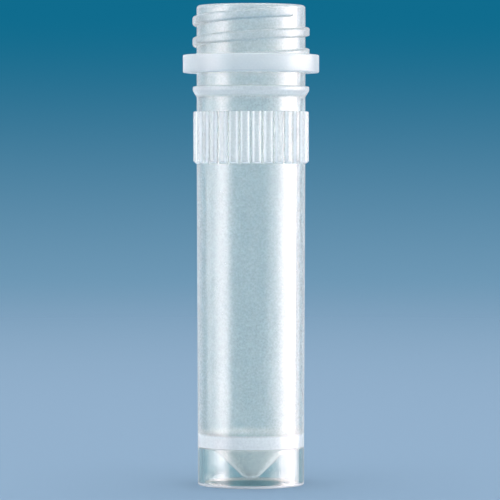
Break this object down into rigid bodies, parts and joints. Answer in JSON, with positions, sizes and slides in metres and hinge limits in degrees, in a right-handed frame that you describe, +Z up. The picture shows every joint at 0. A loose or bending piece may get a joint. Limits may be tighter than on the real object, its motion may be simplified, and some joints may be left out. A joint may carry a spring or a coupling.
{
  "type": "cryovial",
  "caption": "Self-standing round sample tube for cold storage, with an outside screw thread for a cap, a collar, a ring of grip ribs and a conical floor above a hollow skirt.",
  "frame": {"origin": "centre of the foot's flat ring, which is the plane the tube stands on", "axes": "+Z up along the tube's axis, out of its mouth; -Y is the front, and the thread's upper end lies 46 degrees to the front's right"},
  "size_m": [0.0134, 0.0134, 0.047],
  "materials": {
    "polypropylene": "natural translucent polypropylene, as moulded, smooth and glossy"
  },
  "bodies": {
    "root": {"cryovial_tube": "polypropylene"}
  },
  "joints": []
}
